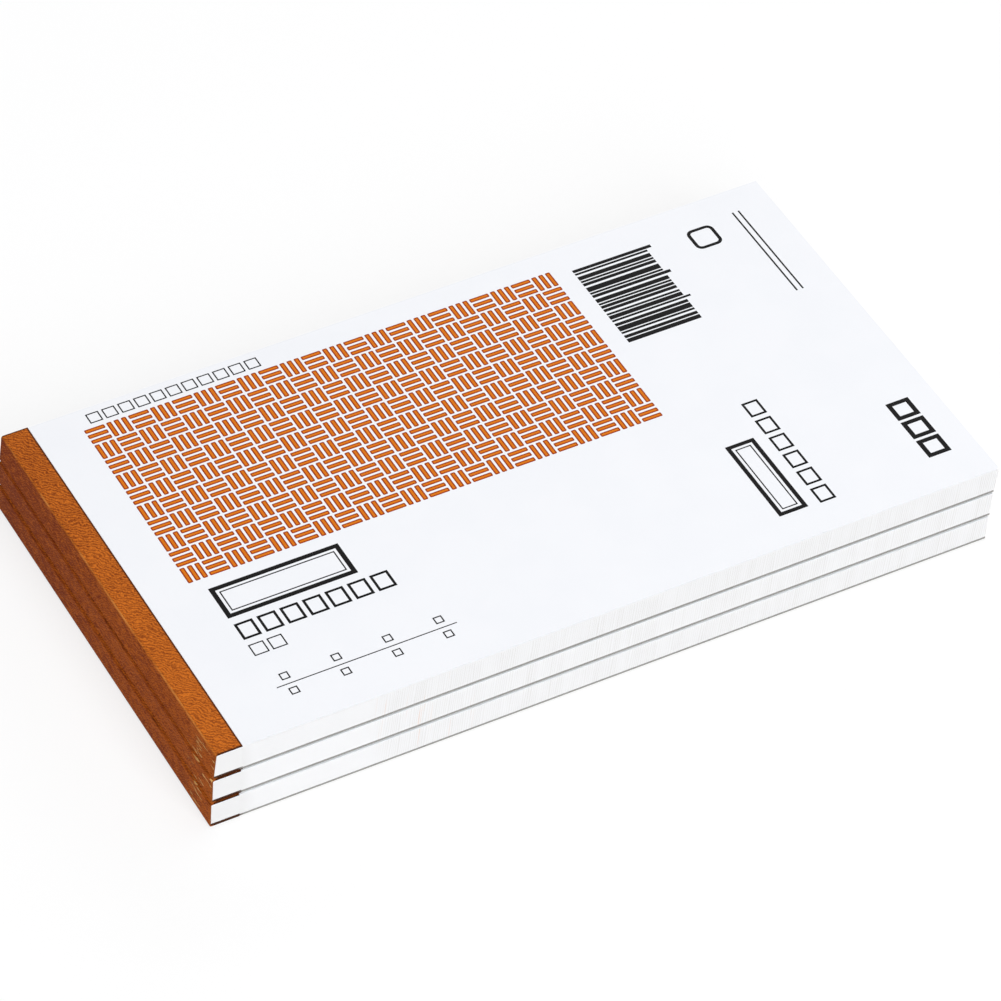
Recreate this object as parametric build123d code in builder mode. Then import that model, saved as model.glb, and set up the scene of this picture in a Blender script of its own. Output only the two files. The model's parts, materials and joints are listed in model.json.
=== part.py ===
"""A stack of three tape-bound receipt books, in millimetres, +Z up.

Each book is a wire-stitched block of perforated sheets between two covers, with a cloth tape folded
round its spine. The spines are on the -X side. The origin is at the middle of the stack's base.
"""

import os

from build123d import *

# Book: the length runs away from the spine, the width runs along it
book_length = 185.0
book_width = 103.0

# Sheets and covers
sheet_count = 80
sheet_thickness = 0.065
front_cover_thickness = 0.25
back_cover_thickness = 0.5
fold_gap = 0.01

# Air above each sheet, and how much of it the staples press out of the bound edge
lower_air = 0.005
top_air = 0.0095
pressed_air = 0.005

# Spine tape
tape_lap = 6.8
tape_thickness = 0.3
tape_fold_radius = 0.55
glue_line = 0.03

# Staples, of flat wire
wire_width = 0.6
wire_thickness = 0.3
staple_crown = 12.0
staple_point = 4.5
staple_spacing = 52.0
staple_inset = 3.3
staple_clearance = 0.05

# Tear line of each leaf
tear_line = 41.0
slit_length = 1.8
slit_width = 0.3
slit_pitch = 2.6

# Leaves of the top book that turn with its cover
turning_leaves = 5

# How far the top of a book leans away from its spine
lower_lean = 0.2
top_lean = 0.7

# How far the lower books lie out of line with the top one, towards the spine and towards the viewer
middle_shift = 0.45
middle_step = 0.2
bottom_shift = 1.05
bottom_step = 0.5

# Distance of the leaves from the spine
leaf_start = tape_lap + fold_gap

# Middle of the top book's spine, with the stack's box centred on the origin
spine_x = (max(middle_shift, bottom_shift) - book_length - top_lean) / 2
spine_y = max(middle_step, bottom_step) / 2


class Book:
    """The planes of one book and its levels, which count up from its underside."""

    def __init__(self, base, shift, step, air, lean):
        self.lean = lean
        covers = back_cover_thickness + front_cover_thickness
        self.free_pitch = sheet_thickness + air
        bound_pitch = self.free_pitch - pressed_air
        free_height = covers + sheet_count * self.free_pitch
        tape_height = covers + sheet_count * bound_pitch + 2 * tape_thickness
        self.height = max(free_height, tape_height)

        # Free part
        self.back_base = (self.height - free_height) / 2
        self.back_top = self.back_base + back_cover_thickness
        self.sheets_top = self.back_top + sheet_count * self.free_pitch

        # Bound part
        self.tape_base = (self.height - tape_height) / 2
        self.tape_top = self.tape_base + tape_height
        self.clench_base = self.tape_base + tape_thickness
        self.bound_back_top = self.clench_base + back_cover_thickness
        self.bound_sheets_top = self.bound_back_top + sheet_count * bound_pitch
        self.crown_top = self.tape_top - tape_thickness

        # Under the book: x away from the spine, y along it, from the middle of the spine
        self.plane = Plane(origin=(spine_x - shift, spine_y - step, base))

        # Across the spine: x from the spine, y up
        self.section = Plane(self.plane.origin, x_dir=self.plane.x_dir, z_dir=-self.plane.y_dir)

        # The trimmed free end, which leans as the spine does
        rise = self.sheets_top + front_cover_thickness - self.back_top
        foot = self.plane.from_local_coords((book_length, 0, self.back_top))
        self.free_end = Plane(foot, x_dir=self.plane.y_dir, z_dir=(rise, 0, -lean))

        # Section of the space inside the folded tape
        inner = tape_thickness + glue_line
        with BuildSketch() as self.bound_section:
            with BuildLine():
                fold = FilletPolyline(
                    (tape_lap, self.clench_base),
                    (inner, self.clench_base),
                    (inner + lean, self.crown_top),
                    (tape_lap, self.crown_top),
                    radius=tape_fold_radius - tape_thickness,
                )
                Line(fold @ 1, fold @ 0)
            make_face()


def draw_bound_layer(book, low, high):
    """The part of a layer that the tape holds, cut to the rounded inside of the tape."""
    add(book.bound_section.sketch)
    with Locations((tape_lap / 2, (low + high) / 2)):
        Rectangle(tape_lap, high - low, mode=Mode.INTERSECT)


def draw_leaf():
    """The free part of a sheet or cover, drawn long enough to be trimmed."""
    end = book_length + top_lean + lower_lean
    with Locations(((leaf_start + end) / 2, 0)):
        Rectangle(end - leaf_start, book_width)


def draw_crown_slots():
    with Locations((staple_inset, 0)):
        with GridLocations(wire_width, staple_spacing, 1, 2):
            Rectangle(wire_width + 2 * staple_clearance, staple_crown + 2 * staple_clearance)


def draw_leg_holes():
    leg_spacing = staple_crown - wire_thickness
    with Locations((staple_inset, 0)):
        with GridLocations(wire_width, staple_spacing, 1, 2):
            with GridLocations(wire_width, leg_spacing, 1, 2):
                Rectangle(wire_width + 2 * staple_clearance, wire_thickness + 2 * staple_clearance)


def make_spine_tape(book):
    """The tape, folded over both covers with rounded folds."""
    half = tape_thickness / 2
    with BuildPart() as tape:
        with BuildSketch(book.section):
            with BuildLine():
                FilletPolyline(
                    (tape_lap, book.tape_base + half),
                    (half, book.tape_base + half),
                    (half + book.lean, book.tape_top - half),
                    (tape_lap, book.tape_top - half),
                    radius=tape_fold_radius - half,
                )
            trace(line_width=tape_thickness)
        extrude(amount=book_width / 2, both=True)
    return tape


def make_back_cover(book):
    """The back board, bent in under the tape and pressed in round the clenched staple points."""
    with BuildPart() as cover:
        with BuildSketch(book.section):
            draw_bound_layer(book, book.clench_base, book.bound_back_top)
            with Locations(((tape_lap + book_length) / 2, (book.back_base + book.back_top) / 2)):
                Rectangle(book_length - tape_lap, back_cover_thickness)
        extrude(amount=book_width / 2, both=True)
        with BuildSketch(book.plane.offset(book.clench_base)):
            draw_crown_slots()
        extrude(amount=wire_thickness, mode=Mode.SUBTRACT)
        with BuildSketch(book.plane.offset(book.clench_base)):
            draw_leg_holes()
        extrude(amount=back_cover_thickness, mode=Mode.SUBTRACT)
    return cover


def make_cover_margin(book):
    """The strip of the front cover that stays under the tape, with slots for the staple crowns."""
    with BuildPart() as margin:
        with BuildSketch(book.section):
            draw_bound_layer(book, book.bound_sheets_top, book.crown_top)
        extrude(amount=book_width / 2, both=True)
        with BuildSketch(book.plane.offset(book.crown_top - wire_thickness)):
            draw_crown_slots()
        extrude(amount=wire_thickness, mode=Mode.SUBTRACT)
    return margin


def make_sheet_margins(book):
    """The bound edge of the sheets, pressed into one block by the staples and the tape."""
    with BuildPart() as margins:
        with BuildSketch(book.section):
            draw_bound_layer(book, book.bound_back_top, book.bound_sheets_top)
        extrude(amount=book_width / 2, both=True)
        with BuildSketch(book.plane.offset(book.bound_back_top)):
            draw_leg_holes()
        extrude(amount=book.bound_sheets_top - book.bound_back_top, mode=Mode.SUBTRACT)
        with BuildSketch(book.plane.offset(book.crown_top - wire_thickness)):
            draw_crown_slots()
        extrude(amount=wire_thickness, mode=Mode.SUBTRACT)
    return margins


def make_staples(book):
    """Two staples with their points clenched towards each other, and bends no wider than their holes."""
    half = wire_thickness / 2
    leg = staple_crown / 2 - half
    clench = book.clench_base + half
    crown = book.crown_top - half
    tip = staple_crown / 2 - staple_point
    middle = staple_spacing / 2
    origin = book.plane.from_local_coords((staple_inset, 0, 0))
    with BuildPart() as staples:
        with BuildSketch(Plane(origin, x_dir=book.plane.y_dir, z_dir=book.plane.x_dir)):
            with BuildLine():
                FilletPolyline(
                    (middle - tip, clench),
                    (middle - leg, clench),
                    (middle - leg, crown),
                    (middle + leg, crown),
                    (middle + leg, clench),
                    (middle + tip, clench),
                    radius=staple_clearance + half,
                )
            trace(line_width=wire_thickness)
            mirror(about=Plane.YZ)
        extrude(amount=wire_width / 2, both=True)
    return staples


def make_front_cover(book):
    """The part of the front cover that opens at the edge of the tape."""
    with BuildPart() as cover:
        with BuildSketch(book.plane.offset(book.sheets_top)):
            draw_leaf()
        extrude(amount=front_cover_thickness)
        split(bisect_by=book.free_end, keep=Keep.BOTTOM)
    return cover


def make_sheets(book, count):
    """The free part of the lowest sheets, each a solid of its own."""
    levels = [book.back_top + index * book.free_pitch for index in range(count)]
    with BuildPart() as sheets:
        with BuildSketch(*[book.plane.offset(level) for level in levels]):
            draw_leaf()
        extrude(amount=sheet_thickness)
        split(bisect_by=book.free_end, keep=Keep.BOTTOM)
    return sheets


def make_leaf(book, number):
    """The free part of a sheet counted from the top, with the slits of its tear line."""
    slit_count = int(book_width // slit_pitch)
    with BuildPart() as leaf:
        with BuildSketch(book.plane.offset(book.sheets_top - number * book.free_pitch)):
            draw_leaf()
            with Locations((tear_line, 0)):
                with GridLocations(slit_pitch, slit_pitch, 1, slit_count):
                    Rectangle(slit_width, slit_length, mode=Mode.SUBTRACT)
        extrude(amount=sheet_thickness)
        split(bisect_by=book.free_end, keep=Keep.BOTTOM)
    return leaf


def make_torn_leaf(book, number, side):
    """One side of a leaf, cut through the ties of its tear line."""
    leaf = make_leaf(book, number)
    cut = Plane(book.plane.from_local_coords((tear_line, 0, 0)), z_dir=book.plane.x_dir)
    with BuildPart() as half:
        add(leaf.part)
        split(bisect_by=cut, keep=side)
    return half


def save(piece, name):
    piece.part.label = name
    export_step(piece.part, f"parts/{name}.step")


os.makedirs("parts", exist_ok=True)

bottom = Book(0, bottom_shift, bottom_step, lower_air, lower_lean)
middle = Book(bottom.height, middle_shift, middle_step, lower_air, lower_lean)
top = Book(bottom.height + middle.height, 0, 0, top_air, top_lean)

for name, book in {"bottom": bottom, "middle": middle, "top": top}.items():
    save(make_spine_tape(book), f"{name}_spine_tape")
    save(make_back_cover(book), f"{name}_back_cover")
    save(make_sheet_margins(book), f"{name}_sheet_margins")
    save(make_staples(book), f"{name}_staples")
    save(make_cover_margin(book), f"{name}_cover_margin")
    save(make_front_cover(book), f"{name}_front_cover")
    fixed_sheets = sheet_count - turning_leaves if book is top else sheet_count
    save(make_sheets(book, fixed_sheets), f"{name}_sheets")

save(make_torn_leaf(top, 1, Keep.BOTTOM), "top_leaf_1_stub")
save(make_torn_leaf(top, 1, Keep.TOP), "top_leaf_1_slip")
for number in range(2, turning_leaves + 1):
    save(make_leaf(top, number), f"top_leaf_{number}")

print("book heights", [round(book.height, 3) for book in (bottom, middle, top)])
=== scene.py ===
import json
import math

import bpy
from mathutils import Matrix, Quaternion, Vector


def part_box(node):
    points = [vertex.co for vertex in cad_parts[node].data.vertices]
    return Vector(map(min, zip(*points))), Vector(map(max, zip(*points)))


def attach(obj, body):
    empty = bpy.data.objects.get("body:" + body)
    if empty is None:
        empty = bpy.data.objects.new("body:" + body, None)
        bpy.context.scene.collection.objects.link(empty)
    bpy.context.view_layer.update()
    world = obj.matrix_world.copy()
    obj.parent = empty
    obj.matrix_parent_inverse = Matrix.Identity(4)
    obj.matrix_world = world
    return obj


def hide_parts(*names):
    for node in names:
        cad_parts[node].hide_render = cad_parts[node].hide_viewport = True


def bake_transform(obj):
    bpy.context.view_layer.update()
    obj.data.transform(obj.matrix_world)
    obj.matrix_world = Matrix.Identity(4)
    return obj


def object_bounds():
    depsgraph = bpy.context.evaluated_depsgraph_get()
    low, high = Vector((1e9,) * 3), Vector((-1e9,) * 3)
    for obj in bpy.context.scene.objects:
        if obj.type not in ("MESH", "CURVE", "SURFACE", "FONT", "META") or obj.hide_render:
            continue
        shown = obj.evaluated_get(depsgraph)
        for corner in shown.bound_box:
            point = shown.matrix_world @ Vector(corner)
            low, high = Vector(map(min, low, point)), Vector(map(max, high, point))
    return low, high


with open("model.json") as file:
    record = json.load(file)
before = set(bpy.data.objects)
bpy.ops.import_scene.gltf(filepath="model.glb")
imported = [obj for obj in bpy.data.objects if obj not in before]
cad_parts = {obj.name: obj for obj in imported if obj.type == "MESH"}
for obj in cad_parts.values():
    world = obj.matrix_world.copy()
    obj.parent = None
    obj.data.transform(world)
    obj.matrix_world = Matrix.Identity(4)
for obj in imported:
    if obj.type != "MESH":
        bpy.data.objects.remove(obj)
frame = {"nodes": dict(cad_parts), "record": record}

cadLow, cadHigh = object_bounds()
mm = 0.001
nodes = frame["nodes"]
books = ("top", "middle", "bottom")
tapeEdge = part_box("top_spine_tape")[1].x
print("frame loaded:", len(nodes), "nodes")


# a socket in a material's tree; sums on it become Math nodes
class Tie:
    def __init__(self, tree, socket=None):
        self.tree = tree
        self.socket = socket

    # any node: settings first, then the values or links of its sockets
    def node(self, kind, settings=None, sockets=None, out=0):
        made = self.tree.nodes.new(kind)
        for key, value in (settings or {}).items():
            setattr(made, key, value)
        for key, value in (sockets or {}).items():
            if isinstance(value, Tie):
                self.tree.links.new(value.socket, made.inputs[key])
            else:
                made.inputs[key].default_value = value
        return Tie(self.tree, made.outputs[out] if made.outputs else None)

    def math(self, operation, *others):
        values = dict(enumerate((self, *others)))
        return self.node("ShaderNodeMath", {"operation": operation}, values)

    def flip(self, operation, other):
        return self.node("ShaderNodeMath", {"operation": operation}, {0: other, 1: self})

    def __add__(self, other):
        return self.math("ADD", other)

    def __sub__(self, other):
        return self.math("SUBTRACT", other)

    def __mul__(self, other):
        return self.math("MULTIPLY", other)

    def __truediv__(self, other):
        return self.math("DIVIDE", other)

    def __pow__(self, other):
        return self.math("POWER", other)

    def __radd__(self, other):
        return self.flip("ADD", other)

    def __rsub__(self, other):
        return self.flip("SUBTRACT", other)

    def __rmul__(self, other):
        return self.flip("MULTIPLY", other)

    def larger(self, other):
        return self.math("MAXIMUM", other)

    # colour a where this is 0, colour b where it is 1
    def between(self, a, b):
        a, b = (c if isinstance(c, Tie) else (*c, 1) for c in (a, b))
        return self.node("ShaderNodeMix", {"data_type": "RGBA"}, {0: self, 6: a, 7: b}, out=2)

    # 0 below low, 1 above high, smooth between
    def step(self, low, high):
        settings = {"interpolation_type": "SMOOTHSTEP"}
        sockets = {"Value": self, "From Min": low, "From Max": high}
        return self.node("ShaderNodeMapRange", settings, sockets)


def startMaterial(name):
    material = bpy.data.materials.new(name)
    material.use_nodes = True
    material.node_tree.nodes.clear()
    return material, Tie(material.node_tree)


def closeMaterial(tree, sockets):
    surface = tree.node("ShaderNodeBsdfPrincipled", None, sockets)
    tree.node("ShaderNodeOutputMaterial", None, {"Surface": surface})


def objectPlace(tree):
    return tree.node("ShaderNodeTexCoord", out=3)


def objectNormal(tree):
    return tree.node("ShaderNodeTexCoord", out=1)


def splitPlace(place):
    made = place.node("ShaderNodeSeparateXYZ", None, {0: place})
    outputs = made.socket.node.outputs
    return [Tie(place.tree, outputs[i]) for i in range(3)]


def joinPlace(tree, **axes):
    return tree.node("ShaderNodeCombineXYZ", None, axes)


# noise whose grains are about size metres across
def noise(place, size, detail=3, roughness=0.55):
    sockets = {"Vector": place, "Scale": 1 / size, "Detail": detail, "Roughness": roughness}
    return place.node("ShaderNodeTexNoise", None, sockets)


# relief of the surface, with the strength and depth that the finish gives
def bump(height, p):
    sockets = {"Strength": p["relief"], "Distance": p["depth"], "Height": height}
    return height.node("ShaderNodeBump", None, sockets)


coverCard = {
    "dull": (0.868, 0.882, 0.914),
    "bright": (0.88, 0.892, 0.922),
    "cloud": 14 * mm,
    "cloudRange": (0.35, 0.65),
    "fibre": 0.4 * mm,
    "rough": 0.5,
    "fibreRough": 0.12,
    "gloss": 0.2,
    "relief": 0.12,
    "depth": 0.03 * mm,
}

# for leaves that curl: without the trim marks, which would show as the leaf stands up
leafPaper = {
    "dull": (0.88, 0.882, 0.887),
    "bright": (0.889, 0.891, 0.896),
    "cloud": 9 * mm,
    "cloudRange": (0.35, 0.65),
    "fibre": 0.3 * mm,
    "rough": 0.72,
    "fibreRough": 0.12,
    "gloss": 0.15,
    "relief": 0.06,
    "depth": 0.03 * mm,
}


def makePlainSheet(name, p):
    material, tree = startMaterial(name)
    place = objectPlace(tree)
    cloud = noise(place, p["cloud"], 2).step(*p["cloudRange"])
    fibre = noise(place, p["fibre"], 4)
    closeMaterial(tree, {
        "Base Color": cloud.between(p["dull"], p["bright"]),
        "Roughness": p["rough"] + p["fibreRough"] * (fibre - 0.5),
        "Specular IOR Level": p["gloss"],
        "Normal": bump(fibre, p),
    })
    return material


# bond paper: plain on its faces, with guillotine marks on its cut edges
bondPaper = {
    "face": (0.885, 0.887, 0.892),
    "edge": (0.924, 0.927, 0.936),
    "bound": (0.862, 0.863, 0.864),     # edge of the pressed margin
    "boundFrom": -1 * mm,               # from the tape's edge
    "boundTo": 3 * mm,
    "edgeTurn": (0.3, 0.7),             # how far a cut edge's face is turned from level
    "mark": (0.775, 0.768, 0.755),
    "markShare": 0.9,
    "markLeast": 0.35,                  # of a mark's strength
    "markStart": 36 * mm,               # from the tape's edge
    "markFade": 8 * mm,
    "comb": 0.52 * mm,                  # from one mark to the next
    "combRange": (-0.3, 0.9),
    "wander": 2.4 * mm,                 # how soon their spacing changes
    "wanderTurns": 2.5,
    "coarse": 3.2 * mm,
    "coarseRange": (0.3, 0.72),
    "slant": 0.1,
    "streak": 0.06,                     # how fast a mark changes down the edge
    "tint": (0.86, 0.66, 0.56),
    "tintShare": 0.75,
    "tintReach": 26 * mm,
    "fleck": 1.3 * mm,
    "fleckRange": (0.6, 0.68),
    "fibre": 0.3 * mm,
    "rough": 0.72,
    "fibreRough": 0.12,
    "gloss": 0.15,
    "relief": 0.12,
    "fibreRelief": 0.5,
    "depth": 0.03 * mm,
}


def makeBondPaper(p=bondPaper):
    material, tree = startMaterial("bondPaper")
    place = objectPlace(tree)
    x, y, z = splitPlace(place)
    nz = splitPlace(objectNormal(tree))[2]
    cutEdge = (1 - nz.math("ABSOLUTE")).step(*p["edgeTurn"])
    along = x + y - p["slant"] * z
    line = joinPlace(tree, X=along, Y=z * p["streak"])
    coarse = noise(line, p["coarse"], 2).step(*p["coarseRange"])
    turns = along / p["comb"] + p["wanderTurns"] * noise(line, p["wander"], 2)
    comb = (turns * math.tau).math("SINE").step(*p["combRange"])
    start = tapeEdge + p["markStart"]
    begun = x.step(start - p["markFade"], start)
    marks = comb * (p["markLeast"] + (1 - p["markLeast"]) * coarse) * cutEdge * begun
    fleck = noise(line, p["fleck"], 1).step(*p["fleckRange"])
    nearStart = (1 - x.step(start, start + p["tintReach"])) * fleck
    free = x.step(tapeEdge + p["boundFrom"], tapeEdge + p["boundTo"])
    colour = cutEdge.between(p["face"], free.between(p["bound"], p["edge"]))
    colour = (marks * p["markShare"]).between(colour, p["mark"])
    colour = (marks * nearStart * p["tintShare"]).between(colour, p["tint"])
    fibre = noise(place, p["fibre"], 4)
    closeMaterial(tree, {
        "Base Color": colour,
        "Roughness": p["rough"] + p["fibreRough"] * (fibre - 0.5),
        "Specular IOR Level": p["gloss"],
        "Normal": bump(fibre * p["fibreRelief"] + marks, p),
    })
    return material


# uncoated board; its edge under the tape is painted dark brown, painted shade for the dark band
# between the books at the tape
greyBoard = {
    "pale": (0.33, 0.33, 0.305),
    "dark": (0.21, 0.21, 0.19),
    "fleck": 0.5 * mm,
    "fleckCrisp": 0.7,
    "fleckRange": (0.5, 0.72),
    "fleckShare": 0.45,
    "cloud": 6 * mm,
    "cloudShare": 0.3,
    "underTapeShade": (0.06, 0.024, 0.012),
    "underTapeShadeFade": -1.2 * mm,             # from the tape's edge
    "underTapeShadeEnd": -0.1 * mm,
    "rough": 0.8,
    "fleckRough": 0.15,
    "gloss": 0.15,
    "relief": 0.25,
    "depth": 0.05 * mm,
}


def makeGreyBoard(p=greyBoard):
    material, tree = startMaterial("greyBoard")
    place = objectPlace(tree)
    fleck = noise(place, p["fleck"], 5, p["fleckCrisp"])
    cloud = noise(place, p["cloud"], 2)
    flecks = fleck.step(*p["fleckRange"]) * p["fleckShare"]
    shade = (flecks + p["cloudShare"] * cloud).math("MINIMUM", 1)
    x = splitPlace(place)[0]
    # painted shade: the board is dark brown where the tape covers its edge
    free = x.step(tapeEdge + p["underTapeShadeFade"], tapeEdge + p["underTapeShadeEnd"])
    closeMaterial(tree, {
        "Base Color": free.between(p["underTapeShade"], shade.between(p["pale"], p["dark"])),
        "Roughness": p["rough"] + p["fleckRough"] * (fleck - 0.5),
        "Specular IOR Level": p["gloss"],
        "Normal": bump(fleck, p),
    })
    return material


# coated cloth tape with an embossed leather grain
spineTape = {
    "pit": (0.15, 0.026, 0.006),
    "hill": (0.64, 0.167, 0.018),
    "wrinkle": 0.72 * mm,               # from one wrinkle to the next
    "slope": 0.7,                       # how the wrinkles lie
    "wander": 1.5 * mm,                 # how soon a wrinkle bends
    "wanderTurns": 3.2,
    "sweep": 7 * mm,                    # how soon the wrinkles turn as a whole
    "sweepTurns": 5,
    "fine": 0.3 * mm,
    "cloud": 9 * mm,
    # what adds to the tone from pit to hill
    "tone": 0.27,
    "hillTone": 0.58,
    "fineTone": 1.3,
    "cloudTone": 0.35,
    # the spine is redder and speckled, with dark streaks along it
    "rubbed": (0.46, 0.07, 0.014),
    "rubbedShare": 0.3,
    "spineTurn": (0.6, 0.95),
    "speck": 0.8 * mm,
    "speckLong": 0.4,
    "speckCrisp": 0.65,
    "speckTone": 2.6,
    "streak": 0.3 * mm,
    "streakLong": 0.05,
    "streakRange": (0.52, 0.72),
    "streakTone": 0.35,
    "nearTone": 0.16,
    # the far end is darker
    "farDarkening": 0.14,
    "farDarkeningFrom": -50 * mm,
    "farDarkeningTo": 50 * mm,
    "spineFarDarkening": 0.2,
    "spineFarDarkeningFrom": -10 * mm,
    # the stack's top fold is painted pale, a painted highlight along the fold that is partly wear;
    # the folds between the books and the bottom book's foot get painted shade
    "foldTurn": (0.5, 0.95),
    "footTurn": (0.2, 0.9),
    "foldWearAndHighlight": (0.78, 0.32, 0.08),
    "foldWearAndHighlightLeast": 0.1,
    "foldWearAndHighlightMore": 0.45,
    "foldWearAndHighlightRange": (0.42, 0.65),
    "creaseShade": (0.11, 0.024, 0.006),
    "creaseShadeLeast": 0.35,
    "creaseShadeStreak": 0.5,
    "footShadeShare": 0.8,
    # painted glints at the near end: pale specks standing for the shine of the clear wrap, which is
    # not built
    "nearGlint": (0.95, 0.6, 0.22),
    "nearGlintSize": 1.0 * mm,
    "nearGlintLong": 0.19,
    "nearGlintLean": 0.06,
    "nearGlintRange": (0.6, 0.65),
    "nearGlintTurn": (0.2, 0.6),
    "nearEndStart": 1 * mm,
    "nearEndReach": 14 * mm,
    "nearGlintShare": 0.9,
    # dark on the cut faces, partly the tape's own cut edge and partly painted shade for the dark
    # band between the books; a painted shade line beside each cut
    "cut": (0.05, 0.014, 0.005),
    "cutWall": (0.27, 0.08, 0.02),      # cut end of the spine wall
    "cutTurn": (0.5, 0.9),
    "cutShare": 0.85,
    "sideLine": (0.468 * mm, 0.288 * mm),
    "farLine": (0.396 * mm, 0.216 * mm),
    "nearLine": (0.18 * mm, 0.36 * mm),
    "lapFrom": 0.9 * mm,
    "lapTo": 1.2 * mm,
    "rough": 0.6,
    "grainRough": 0.1,
    "gloss": 0.02,
    "relief": 0.4,
    "hillRelief": 0.7,
    "depth": 0.03 * mm,
}


def makeSpineTape(book, p=spineTape):
    material, tree = startMaterial(book + "SpineTape")
    place = objectPlace(tree)
    x, y, z = splitPlace(place)
    nx, ny, nz = splitPlace(objectNormal(tree))
    low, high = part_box(f"{book}_spine_tape")

    # grain
    bend = p["wanderTurns"] * noise(place, p["wander"], 2)
    bend = bend + p["sweepTurns"] * noise(place, p["sweep"], 1)
    turns = ((x + y) * p["slope"] + z) / p["wrinkle"] + bend
    hill = 0.5 + 0.5 * (turns * math.tau).math("SINE")
    fine = noise(place, p["fine"], 2)
    cloud = noise(place, p["cloud"], 3)
    height = hill * p["hillRelief"] + (1 - p["hillRelief"]) * fine

    # parts of the tape: nx times nz is a half where it leans at 45 degrees
    fold = (nx * nz * -2).step(*p["foldTurn"])
    foot = (nx * nz * 2).step(*p["footTurn"])
    onSpine = (0 - nx).step(*p["spineTurn"]).larger(foot)
    if book != "top":
        onSpine = onSpine.larger(fold)
    onLaps = x.step(low.x + p["lapFrom"], low.x + p["lapTo"])
    nearEnd = 1 - y.step(low.y + p["nearEndStart"], low.y + p["nearEndReach"])

    # tone
    speckPlace = joinPlace(tree, X=x, Y=y * p["speckLong"], Z=z)
    speck = noise(speckPlace, p["speck"], 3, p["speckCrisp"])
    streakPlace = joinPlace(tree, X=z, Y=y * p["streakLong"])
    streak = noise(streakPlace, p["streak"], 2).step(*p["streakRange"])
    farDarkening = p["farDarkening"] * (y.step(p["farDarkeningFrom"], p["farDarkeningTo"]) - 0.5)
    farDarkening = farDarkening + p["spineFarDarkening"] * onSpine * y.step(p["spineFarDarkeningFrom"], p["farDarkeningTo"])
    tone = p["tone"] + hill * p["hillTone"] + p["fineTone"] * (fine - 0.5)
    tone = tone + p["cloudTone"] * (cloud - 0.5) - farDarkening
    spineTone = p["speckTone"] * (speck - 0.5) - p["streakTone"] * streak
    tone = tone + onSpine * (spineTone + p["nearTone"] * nearEnd)
    colour = tone.larger(0).between(p["pit"], p["hill"])
    colour = (onSpine * p["rubbedShare"]).between(colour, p["rubbed"])

    # painted highlight and wear on the top fold, painted shade in the folds below it and at the
    # foot, painted glints at the near end
    if book == "top":
        wearAndHighlight = p["foldWearAndHighlightLeast"] + p["foldWearAndHighlightMore"] * cloud.step(*p["foldWearAndHighlightRange"])
        # painted highlight, partly wear: the top fold turned pale
        colour = (fold * wearAndHighlight).between(colour, p["foldWearAndHighlight"])
    else:
        dark = p["creaseShadeLeast"] + p["creaseShadeStreak"] * streak
        # painted shade in the folds between the books
        colour = (fold * dark).between(colour, p["creaseShade"])
    if book == "bottom":
        # painted shadow along the bottom book's foot
        colour = (foot * p["footShadeShare"]).between(colour, p["creaseShade"])
    # painted glints: pale specks on the spine near its near end
    nearGlintPlace = joinPlace(tree, X=z + p["nearGlintLean"] * y, Y=y * p["nearGlintLong"])
    nearGlint = noise(nearGlintPlace, p["nearGlintSize"], 2).step(*p["nearGlintRange"])
    nearGlint = nearGlint * (0 - nx).step(*p["nearGlintTurn"]) * nearEnd
    colour = (nearGlint * p["nearGlintShare"]).between(colour, p["nearGlint"])

    # cut edges: dark cut faces, partly painted shade, and a painted shade line beside each cut
    sideLine = x.step(*(high.x - distance for distance in p["sideLine"]))
    farLine = y.step(*(high.y - distance for distance in p["farLine"]))
    nearLine = onLaps * (1 - y.step(*(low.y + distance for distance in p["nearLine"])))
    cutFace = ny.math("ABSOLUTE").step(*p["cutTurn"])
    cut = (sideLine.larger(farLine).larger(nearLine) * p["cutShare"]).larger(cutFace)
    colour = cut.between(colour, onLaps.between(p["cutWall"], p["cut"]))
    closeMaterial(tree, {
        "Base Color": colour,
        "Roughness": p["rough"] - p["grainRough"] * hill + p["grainRough"] * (fine - 0.5),
        "Specular IOR Level": p["gloss"],
        "Normal": bump(height, p),
    })
    return material


stitchWire = {
    "colour": (0.62, 0.62, 0.6),
    "scratch": 0.06 * mm,
    "scratchLong": 0.05,
    "rough": 0.28,
    "scratchRough": 0.25,
    "relief": 0.2,
    "depth": 0.01 * mm,
}


def makeStitchWire(p=stitchWire):
    material, tree = startMaterial("stitchWire")
    x, y, z = splitPlace(objectPlace(tree))
    drawn = joinPlace(tree, X=x, Y=y * p["scratchLong"], Z=z * p["scratchLong"])
    scratch = noise(drawn, p["scratch"], 3)
    closeMaterial(tree, {
        "Base Color": (*p["colour"], 1),
        "Metallic": 1.0,
        "Roughness": p["rough"] + p["scratchRough"] * scratch,
        "Normal": bump(scratch, p),
    })
    return material


# printing ink, a little uneven where the sheet shows through; each has a thick and a thin colour
printInk = {
    "colours": {
        "blackInk": ((0.003, 0.0028, 0.003), (0.009, 0.008, 0.008)),
        "orangeInk": ((0.68, 0.165, 0.004), (0.74, 0.215, 0.012)),
        "rimInk": ((0.3, 0.03, 0.001), (0.36, 0.048, 0.003)),
        "formInk": ((0.4, 0.1, 0.02), (0.5, 0.16, 0.05)),
    },
    "grain": 0.25 * mm,
    "grainRange": (0.45, 0.8),
    "grainShare": 0.6,
    "wash": 5 * mm,
    "washShare": 0.3,
    "rough": 0.6,
    "grainRough": 0.2,
    "gloss": 0.06,
    "relief": 0.1,
    "depth": 0.01 * mm,
}


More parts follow.
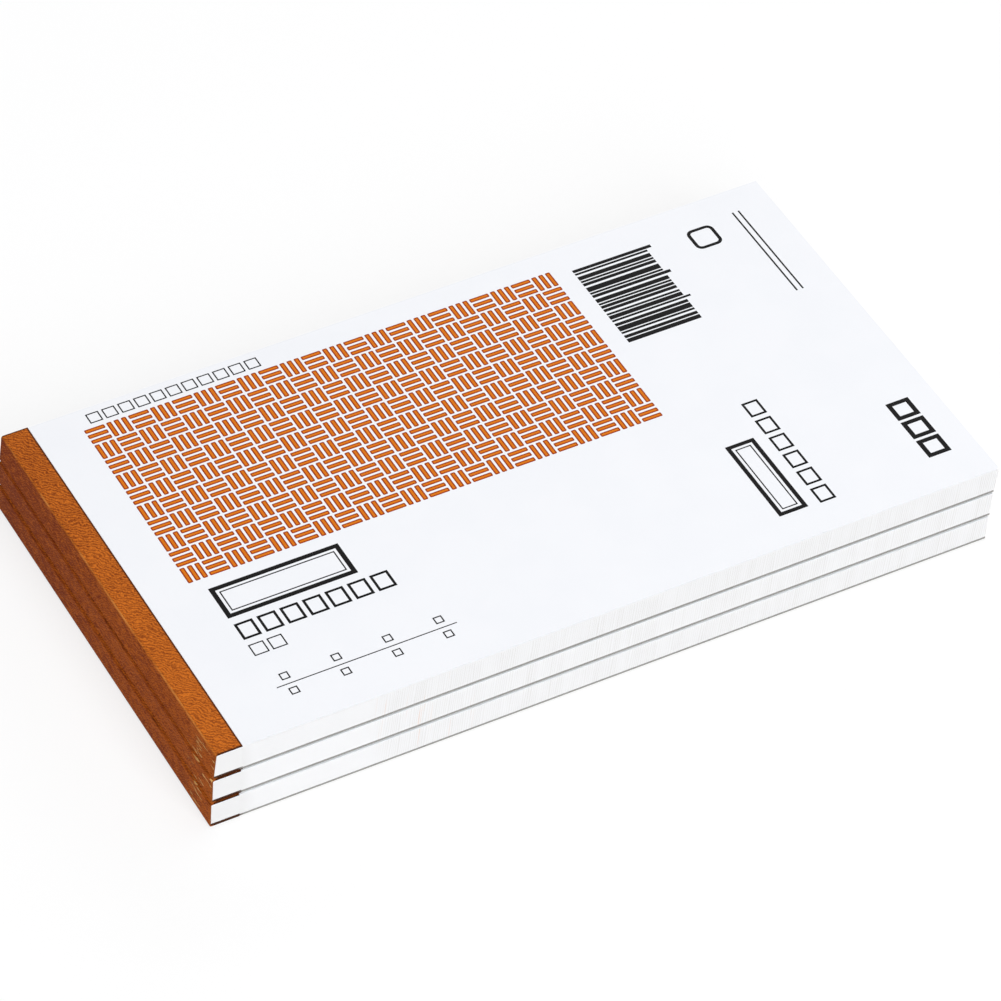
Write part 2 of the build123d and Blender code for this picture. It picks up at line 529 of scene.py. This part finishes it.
def makeInk(name, p=printInk):
    material, tree = startMaterial(name)
    place = objectPlace(tree)
    grain = noise(place, p["grain"], 3)
    wash = noise(place, p["wash"], 2)
    thinned = grain.step(*p["grainRange"]) * p["grainShare"] + p["washShare"] * wash
    closeMaterial(tree, {
        "Base Color": thinned.between(*p["colours"][name]),
        "Roughness": p["rough"] + p["grainRough"] * (grain - 0.5),
        "Specular IOR Level": p["gloss"],
        "Normal": bump(grain, p),
    })
    return material


finishes = {
    "card": makePlainSheet("coverCard", coverCard),
    "paper": makeBondPaper(),
    "board": makeGreyBoard(),
    "wire": makeStitchWire(),
}
tapes = {book: makeSpineTape(book) for book in books}
leafFinish = makePlainSheet("leafPaper", leafPaper)
inks = {name: makeInk(name) for name in printInk["colours"]}

for part in frame["record"]["subparts"]:
    book = part["node"].split("_")[0]
    finish = finishes.get(part["material_slot"], tapes[book])
    for slot in nodes[part["node"]].material_slots:
        slot.material = finish
print("finishes on the nodes:", len(finishes) + len(tapes))


def pickOnly(piece):
    bpy.ops.object.select_all(action="DESELECT")
    piece.select_set(True)
    bpy.context.view_layer.objects.active = piece


# flat tiles in one mesh, each left, right, near, far; left in edit mode, all selected
def drawTiles(name, tiles, height):
    bpy.ops.object.select_all(action="DESELECT")
    bpy.ops.mesh.primitive_plane_add(size=1, location=(0, 0, 0))
    piece = bpy.context.object
    piece.name = piece.data.name = name
    bpy.ops.object.mode_set(mode="EDIT")
    bpy.ops.mesh.select_mode(type="FACE")
    bpy.ops.mesh.select_all(action="SELECT")
    bpy.ops.mesh.delete(type="VERT")
    for left, right, near, far in tiles:
        middle = ((left + right) / 2, (near + far) / 2, height)
        bpy.ops.mesh.primitive_plane_add(size=1, location=middle)
        bpy.ops.transform.resize(value=(right - left, far - near, 1), center_override=middle)
    bpy.ops.mesh.select_all(action="SELECT")
    return piece


# cuts the corners of the selected tiles
def cutCorners(size, segments):
    bpy.ops.mesh.bevel(affect="VERTICES", offset=size, segments=segments)
    bpy.ops.mesh.select_all(action="SELECT")


# gives the drawn faces the thickness of the ink and closes the piece
def raiseInk(piece, film):
    bpy.ops.mesh.select_all(action="SELECT")
    bpy.ops.mesh.extrude_region_move(TRANSFORM_OT_translate={"value": (0, 0, film)})
    bpy.ops.mesh.select_all(action="SELECT")
    bpy.ops.mesh.normals_make_consistent(inside=False)
    bpy.ops.object.mode_set(mode="OBJECT")
    return piece


def joinPieces(name, pieces):
    pickOnly(pieces[0])
    for piece in pieces[1:]:
        piece.select_set(True)
    if len(pieces) > 1:
        bpy.ops.object.join()
    pieces[0].name = pieces[0].data.name = name
    return pieces[0]


# a copy with its own mesh, moved by an offset
def copyPiece(piece, name, offset):
    pickOnly(piece)
    bpy.ops.object.duplicate(linked=False)
    copy = bpy.context.object
    copy.name = copy.data.name = name
    copy.location = offset
    bpy.ops.object.transform_apply(location=True, rotation=False, scale=False)
    return copy


# places on covers and leaves are mm from the tape's edge and from the far edge
coverLow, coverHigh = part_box("top_front_cover")


def onSheet(left, top, width, height):
    x = tapeEdge + left * mm
    y = coverHigh.y - top * mm
    return (x, x + width * mm, y - height * mm, y)


# the tiles of one printed row, which runs along the sheet or down it
def rowTiles(row):
    across, down = row.get("across", 0), row.get("down", 0)
    return [
        onSheet(row["left"] + i * across, row["top"] + i * down, row["width"], row["height"])
        for i in range(row.get("count", 1))
    ]


roundSegments = 5       # in a box's rounded corner


# open boxes and solid bars in one ink
def makePrint(name, boxes, barTiles, height, film, ink):
    made = []
    for row in boxes:
        piece = drawTiles(f"{name}Row{len(made)}", rowTiles(row), height)
        if "corner" in row:
            cutCorners(row["corner"] * mm, roundSegments)
        bpy.ops.mesh.inset(thickness=row["line"] * mm, use_individual=True)
        bpy.ops.mesh.delete(type="FACE")
        made.append(raiseInk(piece, film))
    made.append(raiseInk(drawTiles(f"{name}Bars", barTiles, height), film))
    piece = joinPieces(name, made)
    piece.data.materials.append(ink)
    return piece


# basket weave: cells of bars that lie along the cover and across it by turns
coverPanel = {
    "left": 10.0, "top": 5.9,
    "cell": 5.14,
    "cellsAlong": 22, "cellsAcross": 10,
    "bars": 3,
    "barWidth": 1.15,
    "barLength": 4.66,
    "corner": 0.18,
    "rim": 0.3,
    "film": 0.015,
}


def cellTiles(p, column, row):
    pitch = p["cell"] / p["bars"]
    side = (pitch - p["barWidth"]) / 2
    end = (p["cell"] - p["barLength"]) / 2
    left = p["left"] + column * p["cell"]
    top = p["top"] + row * p["cell"]
    tiles = []
    for i in range(p["bars"]):
        if (column + row) % 2:
            tiles.append(onSheet(left + side + i * pitch, top + end, p["barWidth"], p["barLength"]))
        else:
            tiles.append(onSheet(left + end, top + side + i * pitch, p["barLength"], p["barWidth"]))
    return tiles


def addArray(piece, count, step):
    pickOnly(piece)
    array = piece.modifiers.new("copies", "ARRAY")
    array.count = count
    array.use_relative_offset = False
    array.use_constant_offset = True
    array.constant_offset_displace = step
    bpy.ops.object.modifier_apply(modifier=array.name)


# four cells are drawn, each bar with a dark rim, and then repeated both ways
def makeCoverPanel(p=coverPanel):
    cells = [(column, row) for column in (0, 1) for row in (0, 1)]
    tiles = [tile for cell in cells for tile in cellTiles(p, *cell)]
    panel = drawTiles("top_cover_pattern", tiles, coverHigh.z)
    panel.data.materials.append(inks["rimInk"])
    panel.data.materials.append(inks["orangeInk"])
    cutCorners(p["corner"] * mm, 1)
    bpy.ops.mesh.inset(thickness=p["rim"] * mm, use_individual=True)
    panel.active_material_index = 1
    bpy.ops.object.material_slot_assign()
    raiseInk(panel, p["film"] * mm)
    step = 2 * p["cell"] * mm
    addArray(panel, p["cellsAlong"] // 2, (step, 0, 0))
    addArray(panel, p["cellsAcross"] // 2, (0, -step, 0))
    return panel


# black print: rows of boxes, blank labels and rules
coverPrint = {
    "film": 0.015,
    "boxes": [
        {"left": 12.5, "top": 1.9, "width": 3.0, "height": 3.0, "line": 0.3,
         "count": 11, "across": 3.75},
        {"left": 13.1, "top": 60.3, "width": 30.0, "height": 9.5, "line": 1.1},
        {"left": 14.8, "top": 62.0, "width": 26.6, "height": 6.1, "line": 0.3},
        {"left": 13.3, "top": 71.8, "width": 4.2, "height": 4.9, "line": 0.6,
         "count": 7, "across": 5.2},
        {"left": 13.3, "top": 78.4, "width": 3.4, "height": 3.4, "line": 0.3,
         "count": 2, "across": 4.2},
        {"left": 15.2, "top": 88.4, "width": 2.0, "height": 2.0, "line": 0.3,
         "count": 4, "across": 11.8},
        {"left": 15.2, "top": 92.9, "width": 2.0, "height": 2.0, "line": 0.3,
         "count": 4, "across": 11.8},
        {"left": 155.9, "top": 8.0, "width": 6.6, "height": 6.6, "line": 0.8, "corner": 1.6},
        {"left": 129.7, "top": 71.6, "width": 7.0, "height": 23.2, "line": 1.0},
        {"left": 131.3, "top": 73.2, "width": 3.8, "height": 20.0, "line": 0.3},
        {"left": 139.5, "top": 61.5, "width": 3.9, "height": 4.6, "line": 0.55,
         "count": 6, "down": 5.8},
        {"left": 167.2, "top": 75.5, "width": 5.6, "height": 5.6, "line": 1.1,
         "count": 3, "down": 6.3},
    ],
    "bars": [
        {"left": 13.3, "top": 91.6, "width": 41.3, "height": 0.25},
        {"left": 168.6, "top": 7.0, "width": 0.4, "height": 28.5, "count": 2, "across": 1.5},
    ],
}

# a block of plain bars in four widths, every seventh one longer
barBlock = {
    "left": 127.5, "top": 8.0,
    "width": 18.2, "longWidth": 19.6, "height": 25.8,
    "bars": (3, 2, 4, 2, 3, 5, 2, 3, 4, 2, 3),
    "gaps": (1, 2, 1, 1, 2, 1, 1, 2, 1, 1),
    "unit": 0.3,
    "longEvery": 7,
}


def barBlockTiles(p=barBlock):
    tiles = []
    down = 0
    while down < p["height"]:
        index = len(tiles)
        bar = p["bars"][index % len(p["bars"])] * p["unit"]
        width = p["longWidth"] if index % p["longEvery"] == 0 else p["width"]
        tiles.append(onSheet(p["left"], p["top"] + down, width, min(bar, p["height"] - down)))
        down += bar + p["gaps"][index % len(p["gaps"])] * p["unit"]
    return tiles


def makeCoverPrint(p=coverPrint):
    bars = [tile for row in p["bars"] for tile in rowTiles(row)] + barBlockTiles()
    film = p["film"] * mm
    return makePrint("top_cover_print", p["boxes"], bars, coverHigh.z, film, inks["blackInk"])


printed = [makeCoverPanel(), makeCoverPrint()]
for piece in printed:
    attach(piece, "top_cover")
    for book in books[1:]:
        low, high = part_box(f"{book}_front_cover")
        offset = (low.x - coverLow.x, high.y - coverHigh.y, high.z - coverHigh.z)
        copy = copyPiece(piece, piece.name.replace("top", book, 1), offset)
        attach(copy, f"{book}_book")
print("cover print:", sum(len(piece.data.polygons) for piece in printed), "faces a cover")


# leaves cut across beside the tape, where they curl up as they turn
leafCurl = {
    "reach": 14.0,
    "cuts": 14,
    "weld": 1e-7,           # points nearer than this, in metres, become one
    "cutLimit": 1e-6,
    "smooth": 40,           # degrees
}


def cutForCurl(piece, p=leafCurl):
    pickOnly(piece)
    bpy.ops.object.mode_set(mode="EDIT")
    bpy.ops.mesh.select_all(action="SELECT")
    bpy.ops.mesh.remove_doubles(threshold=p["weld"])
    for i in range(1, p["cuts"] + 2):       # one past the curl, so the shading ends there
        cutPlace = (tapeEdge + p["reach"] * mm * i / p["cuts"], 0, 0)
        bpy.ops.mesh.select_all(action="SELECT")
        bpy.ops.mesh.bisect(plane_co=cutPlace, plane_no=(1, 0, 0), threshold=p["cutLimit"])
    bpy.ops.object.mode_set(mode="OBJECT")
    # the stored normals don't fit the cut mesh
    bpy.ops.mesh.customdata_custom_splitnormals_clear()
    bpy.ops.object.shade_smooth_by_angle(angle=math.radians(p["smooth"]))


def curlFromTape(piece):
    cutForCurl(piece)
    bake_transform(piece)


def makeCurlingLeaf(node):
    leaf = bpy.data.objects.new(node + "_sheet", nodes[node].data.copy())
    bpy.context.collection.objects.link(leaf)
    for slot in leaf.material_slots:
        slot.material = leafFinish
    curlFromTape(leaf)
    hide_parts(node)


wholeLeaves = {f"top_leaf_{number}": f"leaf_{number}" for number in range(2, 6)}
leaves = {"top_leaf_1_stub": "leaf_1", **wholeLeaves}
for node, body in leaves.items():
    makeCurlingLeaf(node)
print("leaves that curl:", len(leaves))

# the blank form on each leaf: a stub beside the tape and a slip beyond the tear line
formFilm = 0.003 * mm
stubForm = {
    "boxes": [
        {"left": 17.0, "top": 8.0, "width": 13.5, "height": 5.0, "line": 0.25},
        {"left": 5.0, "top": 40.0, "width": 25.5, "height": 8.0, "line": 0.35},
    ],
    "bars": [
        {"left": 5.0, "top": 21.0, "width": 25.5, "height": 0.2, "count": 2, "down": 9.5},
        {"left": 5.0, "top": 60.0, "width": 25.5, "height": 0.2, "count": 4, "down": 9.0},
    ],
}
slipForm = {
    "boxes": [
        {"left": 41.0, "top": 7.5, "width": 131.0, "height": 88.0, "line": 0.45, "corner": 2.5},
        {"left": 88.0, "top": 12.0, "width": 37.0, "height": 8.0, "line": 0.6},
        {"left": 145.0, "top": 12.0, "width": 22.0, "height": 5.5, "line": 0.25},
        {"left": 62.0, "top": 36.0, "width": 89.0, "height": 12.0, "line": 0.45},
        {"left": 47.0, "top": 64.0, "width": 17.0, "height": 25.0, "line": 0.25},
        {"left": 70.0, "top": 66.0, "width": 38.0, "height": 5.5, "line": 0.25,
         "count": 4, "down": 5.75},
    ],
    "bars": [
        {"left": 47.0, "top": 30.5, "width": 78.0, "height": 0.25},
        {"left": 63.5, "top": 37.6, "width": 86.0, "height": 0.2, "count": 12, "down": 0.8},
        {"left": 62.0, "top": 56.0, "width": 44.0, "height": 0.2},
        {"left": 116.0, "top": 72.0, "width": 50.0, "height": 0.2, "count": 3, "down": 8.0},
    ],
}


def makeForm(name, form, height):
    bars = [tile for row in form["bars"] for tile in rowTiles(row)]
    return makePrint(name, form["boxes"], bars, height, formFilm, inks["formInk"])


# the first leaf's two forms are drawn, and the leaves below get copies of both, joined
def makeLeafForms():
    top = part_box("top_leaf_1_stub")[1].z
    stub = makeForm("top_leaf_1_stub_form", stubForm, top)
    slip = makeForm("top_leaf_1_slip_form", slipForm, top)
    lower = [*wholeLeaves, "top_sheets"]
    for node in lower:
        offset = Vector((0, 0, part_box(node)[1].z - top))
        halves = [copyPiece(half, node + "_half", offset) for half in (stub, slip)]
        form = joinPieces(node + "_form", halves)
        if node in leaves:
            curlFromTape(form)
        else:
            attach(form, "top_book")
    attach(slip, "slip")
    curlFromTape(stub)
    return 2 + len(lower)


print("leaf forms:", makeLeafForms())


# floor and sky
studio = {
    "floorSize": 6.0,
    "floorDrop": 0.02 * mm,     # keeps it off the tape's underside
    "floorGlow": 0.7,           # share of plain white in what the camera sees of the floor
    "glowFrom": 0.35,           # further out the floor fades to plain white
    "glowTo": 1.0,
    "floorBounce": (0.55, 0.55, 0.555),
    "sky": (0.25, 0.25, 0.255),
    "white": (1, 1, 1),
}


# 1 for what the camera sees, also in gloss and through clear things
def seenDirectly(tree):
    outputs = tree.node("ShaderNodeLightPath").socket.node.outputs
    kinds = ("Is Camera Ray", "Is Glossy Ray", "Is Transmission Ray")
    eye, gloss, through = (Tie(tree.tree, outputs[kind]) for kind in kinds)
    return (eye + gloss + through).math("MINIMUM", 1)


def makeFloor(p=studio):
    bpy.ops.object.select_all(action="DESELECT")
    place = (0, 0, cadLow.z - p["floorDrop"])
    bpy.ops.mesh.primitive_plane_add(size=p["floorSize"], location=place)
    floor = bpy.context.object
    floor.name = "floor"
    material, tree = startMaterial("studioFloor")
    seen = seenDirectly(tree)
    colour = seen.between(p["floorBounce"], p["white"])
    matt = tree.node("ShaderNodeBsdfDiffuse", None, {"Color": colour})
    glow = tree.node("ShaderNodeEmission", None, {"Color": (*p["white"], 1), "Strength": 1.0})
    x, y = splitPlace(objectPlace(tree))[:2]
    far = ((x * x + y * y) ** 0.5).step(p["glowFrom"], p["glowTo"])
    share = p["floorGlow"] + (1 - p["floorGlow"]) * far
    surface = tree.node("ShaderNodeMixShader", None, {0: seen * share, 1: matt, 2: glow})
    tree.node("ShaderNodeOutputMaterial", None, {"Surface": surface})
    floor.data.materials.append(material)


def makeSky(p=studio):
    world = bpy.data.worlds.new("studioSky")
    world.use_nodes = True
    world.node_tree.nodes.clear()
    tree = Tie(world.node_tree)
    colour = seenDirectly(tree).between(p["sky"], p["white"])
    sky = tree.node("ShaderNodeBackground", None, {"Color": colour})
    tree.node("ShaderNodeOutputWorld", None, {"Surface": sky})
    bpy.context.scene.world = world


lamps = {
    "frontLight": {"place": (-0.1, -1.64, 1.1), "size": 1.4, "power": 32.3},
    "sideLight": {"place": (-1.8, 0.2, 0.9), "size": 1.2, "power": 2.0},
    "backLight": {"place": (1.3, 1.5, 0.5), "size": 1.2, "power": 21.0},
    "topLight": {"place": (0.2, 0.2, 2.2), "size": 1.6, "power": 14.2},
}


def makeLamps(p=lamps):
    for name, lamp in p.items():
        bpy.ops.object.light_add(type="AREA", location=lamp["place"])
        light = bpy.context.object
        light.name = name
        light.data.size = lamp["size"]
        light.data.energy = lamp["power"]
        light.rotation_euler = (-Vector(lamp["place"])).to_track_quat("-Z", "Y").to_euler()


camera = {
    "place": (-0.411505, -0.719403, 0.821878),
    "azimuth": -29.84,      # degrees; 0 looks along +Y
    "elevation": 44.5426,
    "roll": 2.3128,
    "focalPixels": 5440.3,
    "imagePixels": 1001,
    "sensor": 36.0,
    "clipStart": 0.05,
}


def makeCamera(p=camera):
    bpy.ops.object.camera_add(location=p["place"])
    made = bpy.context.object
    made.data.sensor_width = p["sensor"]
    made.data.lens = p["focalPixels"] * p["sensor"] / p["imagePixels"]
    made.data.clip_start = p["clipStart"]
    turn, tilt, roll = (math.radians(p[key]) for key in ("azimuth", "elevation", "roll"))
    level = math.cos(tilt)
    aim = Vector((-math.sin(turn) * level, math.cos(turn) * level, -math.sin(tilt)))
    made.rotation_mode = "QUATERNION"
    made.rotation_quaternion = aim.to_track_quat("-Z", "Y") @ Quaternion((0, 0, 1), roll)
    bpy.context.scene.camera = made


makeFloor()
makeSky()
makeLamps()
makeCamera()
bpy.context.scene.view_settings.view_transform = "Standard"
print("stage, lamps and camera are in place")
